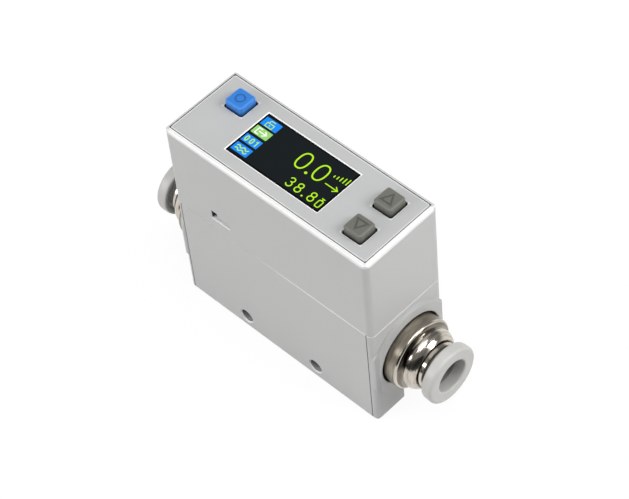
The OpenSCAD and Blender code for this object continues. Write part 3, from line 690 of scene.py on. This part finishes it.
    @staticmethod
    def panel(look):
        """Silvery panel with painted highlights on the bevels round its openings and along its edge, and
        painted shade below its face.
        """
        material = moulded("panel_plastic", look.panel, 0.40, tone=0.07, depth=0.16, grain=0.0003)
        tree, shader, skin = reopen(material)
        # painted highlight on the bevels round the window, round the keys and along the panel's edge
        bevel = node_mask(tree, "display_window", look.window_highlight_width)
        for key in ("set_key", "up_key", "down_key"):
            around = node_mask(tree, key, look.bevel_highlight_width - KEY_SHORTFALL)
            bevel = tree.maths("MAXIMUM", bevel, tree.times(around, BEVEL_HIGHLIGHTS["key"]))
        edge = tree.less(1.0, node_mask(tree, "top_panel", -look.bevel_highlight_width))
        rim_highlight = tree.times(edge, BEVEL_HIGHLIGHTS["panel"])
        bright = tree.blend(tree.maths("MAXIMUM", bevel, rim_highlight), skin, look.bevel_highlight)
        # painted shade: below the panel's face, in the walls of its openings, it is black
        face = tree.above(tree.position()[2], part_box("top_panel")[1].z - 10 * FINE)
        tree.give(shader, Base_Color=tree.blend(face, look.black, bright))
        return material

    @staticmethod
    def inner_frame(look):
        """Frame painted dark as shade inside the housing, whose snap hooks are grey like the housing they
        show through.
        """
        material = moulded("frame_plastic", look.housing, 0.5)
        tree, shader, skin = reopen(material)
        across = tree.maths("ABSOLUTE", tree.position()[1])
        hook = tree.above(across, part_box("board_frame")[1].y - HOOK_DEPTH)
        # painted shade: all of the frame but its snap hooks is black
        tree.give(shader, Base_Color=tree.blend(hook, look.black, skin))
        return material


class METER_OT_dress_keys(bpy.types.Operator):
    """Satin plastic on the three keys and their plungers."""

    bl_idname = "meter.dress_keys"
    bl_label = "Dress the keys"

    def execute(self, context):
        look = context.scene.meter_plastic
        dress("set_key", self.marked("set_key", look.set_key, 0.42, 0.08, look))
        for node in ("up_key", "down_key"):
            dress(node, self.marked(node, look.step_key, 0.48, 0.12, look))
        black = moulded("plunger_plastic", look.black, 0.4)
        for node in ("set_plunger", "up_plunger", "down_plunger"):
            dress(node, black)
        return {"FINISHED"}

    @staticmethod
    def marked(node, tint, rough, tone, look):
        """Key plastic, darker in the engraved mark, with painted shade down the sides and a painted highlight
        round the rounded edge.
        """
        material = moulded(node + "_plastic", tint, rough, tone=tone, depth=0.25)
        tree, shader, skin = reopen(material)
        low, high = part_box(node)
        middle = (low + high) / 2
        height = tree.position()[2]
        engraved = tree.below(height, high.z - 1.5 * FINE)
        mark = tree.times(rectangle_mask(tree, middle, KEY_MARK, KEY_MARK), engraved, look.mark_shade)
        # painted highlight: paler round the rounded edge outside the flat top
        outside = tree.less(1.0, rectangle_mask(tree, middle, KEY_FLAT, KEY_FLAT))
        edge = tree.times(outside, look.edge_highlight)
        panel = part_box("top_panel")[1].z
        # painted shade: darker down the key's sides towards the panel
        side = tree.ramp(height, *(panel + rise for rise in KEY_SIDES), 0.25, 1.0)
        shade = tree.times(side, tree.less(1.0, mark), tree.maths("ADD", 1.0, edge))
        tree.give(shader, Base_Color=tree.shaded(skin, shade))
        return material


class METER_OT_dress_window(bpy.types.Operator):
    """Smooth window with a black border and a dark lit area, and the module under it."""

    bl_idname = "meter.dress_window"
    bl_label = "Dress the window"

    def execute(self, context):
        dress("display_window", self.glass(context.scene.meter_display))
        dress("display_module", self.module())
        return {"FINISHED"}

    @staticmethod
    def glass(look):
        """Black border and dark lit area, with a trace of smudges."""
        material, tree, shader = new_material("window_glass")
        lit_area = node_mask(tree, "display_window", -look.border_width)
        tree.give(shader, Base_Color=tree.blend(lit_area, look.border, look.ground))
        smudged = tree.ramp(tree.noise(160.0, 2.0), *NOISE, 0.16, 0.22)
        tree.give(shader, Roughness=smudged, Specular_IOR_Level=0.06)
        return material

    @staticmethod
    def module():
        """Mottled dark shell of the display module."""
        material, tree, shader = new_material("module_metal")
        dark, light = (0.04, 0.04, 0.045), (0.07, 0.07, 0.075)
        tree.give(shader, Base_Color=tree.blend(tree.noise(700.0, 2.0), dark, light), Roughness=0.4)
        return material


def lit(name, tint, strength):
    """Lit part of the display: glows evenly with a trace of pixel texture."""
    material, tree, shader = new_material(name)
    dots = tree.ramp(tree.noise(5200.0), 0.35, 0.65)
    shade = tree.blend(dots, [c * 0.9 for c in tint], tint)
    tree.give(
        shader, Emission_Color=shade, Emission_Strength=strength, Base_Color=(0.01, 0.01, 0.01),
        Roughness=0.5, Specular_IOR_Level=0.1,
    )
    return material


def digits(places, wide, tall):
    """Centre lines of a row of digits, each given as (digit, x, y)."""
    return [line for kind, x, y in places for line in digit(kind, x, y, wide, tall)]


def open_lock(x, y):
    """Centre lines of an open padlock round x, y."""
    body = [(x - 0.95, y - 0.75), (x + 0.95, y - 0.75), (x + 0.95, y + 0.35), (x - 0.95, y + 0.35)]
    shackle = [(x - 0.6, y + 0.35), (x - 0.6, y + 0.9), (x - 0.45, y + 1.1), (x + 0.6, y + 1.1)]
    return [(body, True), (shackle, False), ([(x - 0.1, y - 0.2), (x + 0.1, y - 0.2)], False)]


def output_arrow(x, y):
    """Centre lines of an arrow that leaves a bracket, round x, y."""
    bracket = [(x - 0.5, y + 0.8), (x - 1.4, y + 0.8), (x - 1.4, y - 0.8), (x - 0.5, y - 0.8)]
    head = [(x + 0.6, y + 0.65), (x + 1.35, y), (x + 0.6, y - 0.65)]
    return [(bracket, False), ([(x - 0.7, y), (x + 1.3, y)], False), (head, False)]


def wave(x, y):
    """Centre line of a wave that starts at x and swings about y."""
    return [(x + 0.1 * i, y + 0.24 * math.sin(0.42 * i)) for i in range(32)]


# Status tiles: name, lowest and highest corner in millimetres
TILES = {
    "lock": ((-14.4, 3.28), (-9.85, 5.72)),
    "output": ((-14.4, 0.38), (-9.85, 2.72)),
    "channel": ((-14.4, -2.64), (-9.85, -0.36)),
    "gas": ((-14.4, -5.72), (-9.85, -3.32)),
}


class METER_OT_build_tiles(bpy.types.Operator):
    """Four status tiles with an open lock, an output arrow, a channel number and a gas wave."""

    bl_idname = "meter.build_tiles"
    bl_label = "Build the status tiles"

    def execute(self, context):
        look = context.scene.meter_display
        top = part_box("display_window")[1].z
        blue = lit("tile_blue", look.tile, look.glow)
        green = lit("tile_green", look.tile_on, look.glow)
        lime = lit("tile_mark_lime", look.digit, look.glow)
        white = lit("tile_mark_white", look.tile_mark, look.glow)
        for name, ((x0, y0), (x1, y1)) in TILES.items():
            outline = stadium((x0 + x1) / 2, (y0 + y1) / 2, (x1 - x0) / 2, (y1 - y0) / 2, 26, 64)
            raised_marks(
                "tile_" + name, [], [[(x * MM, y * MM) for x, y in outline]],
                top - MARK_FOOT, top + look.relief * 0.5, green if name == "output" else blue,
            )
        channel = (("0", -13.5, -1.5), ("0", -12.05, -1.5), ("1", -10.7, -1.5))
        marks = {  # centre lines, and their width as a share of the icons' stroke width
            "lock": (open_lock(-12.24, 4.22), 1.0),
            "output": (output_arrow(-12.1, 1.55), 1.5),
            "channel": (digits(channel, 0.66, 1.36), 1.3),
            "gas": ([(wave(-13.7, -4.94), False), (wave(-13.7, -4.1), False)], 1.3),
        }
        low, high = top + look.relief * 0.3, top + look.relief
        for name, (lines, share) in marks.items():
            strokes = in_metres(lines, look.icon_stroke * share)
            tint = white if name == "output" else lime
            raised_marks("mark_" + name, strokes, [], low, high, tint)
        return {"FINISHED"}


class METER_OT_build_readings(bpy.types.Operator):
    """The large and the small reading, with a bar, an arrow and a tank icon beside them."""

    bl_idname = "meter.build_readings"
    bl_label = "Build the readings"

    def execute(self, context):
        look = context.scene.meter_display
        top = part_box("display_window")[1].z
        low, high = top - MARK_FOOT, top + look.relief
        lime = lit("digit_lime", look.digit, look.glow)
        flow = digits((("0", 0.19, 1.69), ("0", 5.26, 1.62)), 2.68, 4.46)
        total = digits((("3", 2.06, -4.28), ("8", 4.57, -4.33), ("8", 8.31, -4.36)), 1.36, 2.44)
        bars = [([(8.05 + 0.84 * i, 2.5), (8.05 + 0.84 * i, 2.9 + 0.3 * i)], False) for i in range(5)]
        arrow = [([(7.9, 0.1), (11.2, 0.1)], False), ([(10.4, 0.8), (11.3, 0.1), (10.4, -0.6)], False)]
        valve = [([(10.65, -3.8), (10.65, -3.3)], False), ([(10.3, -3.3), (11.0, -3.3)], False)]
        tank = [(stadium(10.65, -4.8, 0.55, 0.95, 5, 40), True), *valve]
        for name, lines, width, discs in (
            ("reading_flow", flow, look.large_stroke, [self.dot(2.74, -0.46, 0.35)]),
            ("reading_total", total, look.small_stroke, [self.dot(6.38, -5.52, 0.23)]),
            ("icon_bars", bars, look.icon_stroke * 1.2, []),
            ("icon_flow", arrow, look.icon_stroke * 1.1, []),
            ("icon_tank", tank, look.icon_stroke * 1.1, []),
        ):
            raised_marks(name, in_metres(lines, width), discs, low, high, lime)
        return {"FINISHED"}

    @staticmethod
    def dot(x, y, radius):
        """Outline of a decimal point, from millimetres."""
        return [(px * MM, py * MM) for px, py in arc(x, y, radius, radius, 0, 345, 23)]


class METER_OT_dress_fittings(bpy.types.Operator):
    """Nickel fittings with a satin flange and polished neck, guides, clips and release rings."""

    bl_idname = "meter.dress_fittings"
    bl_label = "Dress the fittings"

    def execute(self, context):
        metal, plastic = context.scene.meter_metal, context.scene.meter_plastic
        release = self.release(plastic)
        guide = turned_metal("guide_nickel", metal.nickel, 0.16)
        steel = turned_metal("clip_steel", metal.steel, 0.32)
        for end in ("inlet", "outlet"):
            dress(end + "_fitting", self.plated(end, metal))
            dress(end + "_guide", guide)
            dress(end + "_clip", steel)
            dress(end + "_chuck", steel)
            dress(end + "_release", release)
        return {"FINISHED"}

    @staticmethod
    def release(plastic):
        """Off-white plastic with painted shade on the face that is turned to the body."""
        material = moulded("release_plastic", plastic.release, 0.36, tone=0.03, depth=0.08)
        tree, shader, skin = reopen(material)
        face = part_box("outlet_release")[1].x
        away = tree.maths("ABSOLUTE", tree.position()[0])
        # painted shade: the back of the ring, turned to the body, is darker
        back = tree.ramp(away, face - RING_BACK[0], face - RING_BACK[1], 0.5, 1.0)
        tree.give(shader, Base_Color=tree.shaded(skin, back))
        return material

    @staticmethod
    def plated(end, metal):
        """Nickel plating: ground satin flange, polished from its end outwards, painted shade in the fillet
        and a painted dark reflection in the crease.
        """
        material, tree, shader = new_material(end + "_nickel")
        marks = use_group(tree, turned_marks_group(), Pitch=0.00011)
        streak = marks.outputs["Streak"]
        along, across, height = tree.position()
        away = tree.maths("ABSOLUTE", along)
        polished = tree.above(away, FLANGE_END)
        # painted dark reflection on the upper front side of the crease
        crease = tree.times(
            tree.ramp(away, *CREASE[0]), tree.ramp(away, *CREASE[1]),
            tree.ramp(height, *(axis_height() + rise for rise in CREASE_HEIGHTS)),
            tree.ramp(across, *CREASE_SIDE),
        )
        rough = tree.add("ShaderNodeMix", data_type="FLOAT")
        satin = tree.ramp(streak, *NOISE, metal.satin * 0.85, metal.satin * 1.2)
        bright = tree.ramp(streak, *NOISE, metal.polish * 0.7, metal.polish * 1.3)
        for socket, value in ((0, polished), (2, satin), (3, bright)):
            tree.feed(rough.inputs[socket], value)
        tint = tree.blend(polished, metal.ground, metal.nickel)
        # painted shade in the fillet
        tint = tree.blend(tree.between(away, *FILLET), tint, [c * 0.6 for c in metal.ground])
        # painted dark reflection in the crease
        tint = tree.blend(crease, tint, [c * 0.12 for c in metal.ground])
        worn = tree.shaded(tint, tree.ramp(streak, *NOISE, 0.72, 1.06))
        tree.give(shader, Base_Color=worn, Roughness=rough.outputs[0], Metallic=1.0)
        dents = tree.noise(420.0, 2.0)
        bump(tree, shader, tree.maths("ADD", tree.times(marks.outputs["Height"], 0.1), dents), 0.35, 0.0001)
        return material


class METER_OT_dress_inside(bpy.types.Operator):
    """Boards, seals, pins, screws, screens and the flow element."""

    bl_idname = "meter.dress_inside"
    bl_label = "Dress the inside"

    def execute(self, context):
        inside, metal = context.scene.meter_inside, context.scene.meter_metal
        plastic = context.scene.meter_plastic
        board = self.solder_mask(inside)
        for node in ("display_board", "main_board", "sensor_board"):
            dress(node, board)
        black = moulded("part_black", plastic.black, 0.45, depth=0.2)
        for node in ("board_chips", "board_link", "sensor_link"):
            dress(node, black)
        rubber = moulded("seal_rubber", inside.rubber, 0.7, tone=0.1, depth=0.35)
        for node in (
            "housing_gasket", "sensor_gasket", "inlet_o_ring", "outlet_o_ring", "inlet_seal", "outlet_seal"
        ):
            dress(node, rubber)
        steel = turned_metal("small_steel", metal.steel, 0.3)
        for node in ("frame_screws", "key_switches", "sensor_chip", "flow_screens"):
            dress(node, steel)
        dress("connector_pins", turned_metal("pin_gold", metal.gold, 0.22))
        dress("flow_element", moulded("element_plastic", plastic.element, 0.5))
        return {"FINISHED"}

    @staticmethod
    def solder_mask(inside):
        """Green board with lighter tracks."""
        material, tree, shader = new_material("board_mask")
        cells = tree.add("ShaderNodeTexBrick", {
            "Vector": tree.place(), "Scale": 420.0, "Mortar Size": 0.06,
            "Color1": inside.board, "Color2": inside.board, "Mortar": inside.track,
        })
        tree.give(shader, Base_Color=cells.outputs["Color"], Roughness=0.35)
        bump(tree, shader, cells.outputs["Fac"], 0.2, 0.00003)
        return material


def seen_by(tree):
    """1 on rays from the camera, through glass too, and 1 on mirror rays."""
    path = tree.add("ShaderNodeLightPath")
    camera = tree.maths("MAXIMUM", path.outputs["Is Camera Ray"], path.outputs["Is Transmission Ray"])
    return camera, path.outputs["Is Glossy Ray"]


def stage_sheet(name, corners, faces, material):
    """A thin sheet that belongs to the stage."""
    mesh = bpy.data.meshes.new(name)
    mesh.from_pydata(corners, [], faces)
    mesh.materials.append(material)
    sheet = bpy.data.objects.new(name, mesh)
    bpy.context.scene.collection.objects.link(sheet)
    return sheet


class METER_OT_set_stage(bpy.types.Operator):
    """Pale floor, even room light, soft lamps and the camera."""

    bl_idname = "meter.set_stage"
    bl_label = "Set the stage"

    def execute(self, context):
        stage = context.scene.meter_stage
        self.floor(stage)
        self.room(context.scene, stage)
        self.lamp("left_softbox", (-0.36, -0.63, 0.32), 0.34, stage.left_light)
        self.lamp("right_softbox", (0.56, 0.30, 0.48), 0.34, stage.right_light)
        self.lamp("top_softbox", (0.10, -0.08, 1.0), 0.7, stage.top_light)
        self.flag()
        self.camera(context.scene, stage)
        context.scene.view_settings.view_transform = "Standard"
        return {"FINISHED"}

    @staticmethod
    def floor(stage):
        """Matte floor that shows nearly plain white to the camera."""
        material = bpy.data.materials.new("floor_white")
        tree = clear_tree(material)
        camera, glossy = seen_by(tree)
        seen = tree.maths("MAXIMUM", camera, glossy)
        matte = tree.add("ShaderNodeBsdfDiffuse", {"Color": tree.blend(seen, stage.floor, (1, 1, 1))})
        white = tree.add("ShaderNodeEmission", {"Color": (1, 1, 1), "Strength": 1.0})
        mix = tree.add("ShaderNodeMixShader")
        tree.feed(mix.inputs[0], tree.times(seen, stage.floor_glow))
        tree.links.new(matte.outputs[0], mix.inputs[1])
        tree.links.new(white.outputs[0], mix.inputs[2])
        output = tree.add("ShaderNodeOutputMaterial")
        tree.links.new(mix.outputs[0], output.inputs["Surface"])
        far, foot = 6.0, -FINE
        corners = [(-far, -far, foot), (far, -far, foot), (far, far, foot), (-far, far, foot)]
        stage_sheet("floor", corners, [(0, 1, 2, 3)], material)

    @staticmethod
    def room(scene, stage):
        """White to the camera, even light elsewhere, and in metal bright low down and darker overhead."""
        world = bpy.data.worlds.new("room")
        scene.world = world
        tree = clear_tree(world)
        camera, glossy = seen_by(tree)
        place = tree.add("ShaderNodeTexCoord").outputs["Generated"]
        height = tree.add("ShaderNodeSeparateXYZ", {"Vector": place}).outputs["Z"]
        backdrop = tree.ramp(height, 0.0, BRIGHT_ROOM, 1.0, stage.ceiling)
        mirrored = tree.times(glossy, tree.less(backdrop, stage.sky))
        even = tree.maths("ADD", stage.sky, mirrored)
        level = tree.maths("ADD", even, tree.times(camera, tree.less(1.0, even)))
        room = tree.add("ShaderNodeBackground", {"Color": (1, 1, 1), "Strength": level})
        output = tree.add("ShaderNodeOutputWorld")
        tree.links.new(room.outputs[0], output.inputs["Surface"])

    @staticmethod
    def lamp(name, place, size, watts):
        data = bpy.data.lights.new(name, "AREA")
        data.shape = "SQUARE"
        data.size = size
        data.energy = watts
        lamp = bpy.data.objects.new(name, data)
        lamp.location = place
        lamp.visible_camera = False
        aim = Vector((0, 0, 0.03)) - Vector(place)
        lamp.rotation_euler = aim.to_track_quat("-Z", "Y").to_euler()
        bpy.context.scene.collection.objects.link(lamp)

    @staticmethod
    def flag():
        """Dark card in front of the object, seen only in reflections, as a product photographer places it."""
        material, tree, shader = new_material("flag_black")
        tree.give(shader, Base_Color=(0.02, 0.02, 0.02), Roughness=0.9)
        feet = [Vector((-0.08, -0.15, 0)), Vector((0.055, -0.13, 0)), Vector((0.16, -0.03, 0))]
        tops = [foot + Vector((0, 0, tall)) for foot, tall in zip(feet, (0.085, 0.085, 0.09))]
        card = stage_sheet("dark_flag", feet + tops, [(0, 1, 4, 3), (1, 2, 5, 4)], material)
        card.visible_camera = False
        card.visible_shadow = False
        card.visible_diffuse = False

    @staticmethod
    def camera(scene, stage):
        data = bpy.data.cameras.new("camera")
        data.sensor_width = 36
        data.lens = stage.lens
        data.clip_start = 0.01
        data.clip_end = 20
        camera = bpy.data.objects.new("camera", data)
        right = Vector(stage.camera_right).normalized()
        down = Vector(stage.camera_down).normalized()
        back = right.cross(-down)
        camera.matrix_world = Matrix.Translation(stage.camera_place) @ Matrix(
            (
                (right.x, -down.x, back.x, 0),
                (right.y, -down.y, back.y, 0),
                (right.z, -down.z, back.z, 0),
                (0, 0, 0, 1),
            )
        )
        scene.collection.objects.link(camera)
        scene.camera = camera


OPERATORS = (
    METER_OT_dress_housings,
    METER_OT_dress_keys,
    METER_OT_dress_window,
    METER_OT_build_tiles,
    METER_OT_build_readings,
    METER_OT_dress_fittings,
    METER_OT_dress_inside,
    METER_OT_set_stage,
)


class METER_PT_sidebar(bpy.types.Panel):
    """Lists the steps that dress the meter."""

    bl_label = "Flow meter"
    bl_space_type = "VIEW_3D"
    bl_region_type = "UI"
    bl_category = "Flow meter"

    def draw(self, context):
        for operator in OPERATORS:
            self.layout.operator(operator.bl_idname)


def register():
    for name, settings in SETTINGS:
        bpy.utils.register_class(settings)
        setattr(bpy.types.Scene, name, bpy.props.PointerProperty(type=settings))
    for operator in OPERATORS:
        bpy.utils.register_class(operator)
    bpy.utils.register_class(METER_PT_sidebar)


def unregister():
    bpy.utils.unregister_class(METER_PT_sidebar)
    for operator in reversed(OPERATORS):
        bpy.utils.unregister_class(operator)
    for name, settings in reversed(SETTINGS):
        delattr(bpy.types.Scene, name)
        bpy.utils.unregister_class(settings)


def main():
    register()
    for operator in OPERATORS:
        group, step = operator.bl_idname.split(".")
        getattr(getattr(bpy.ops, group), step)()


if __name__ == "__main__":
    main()
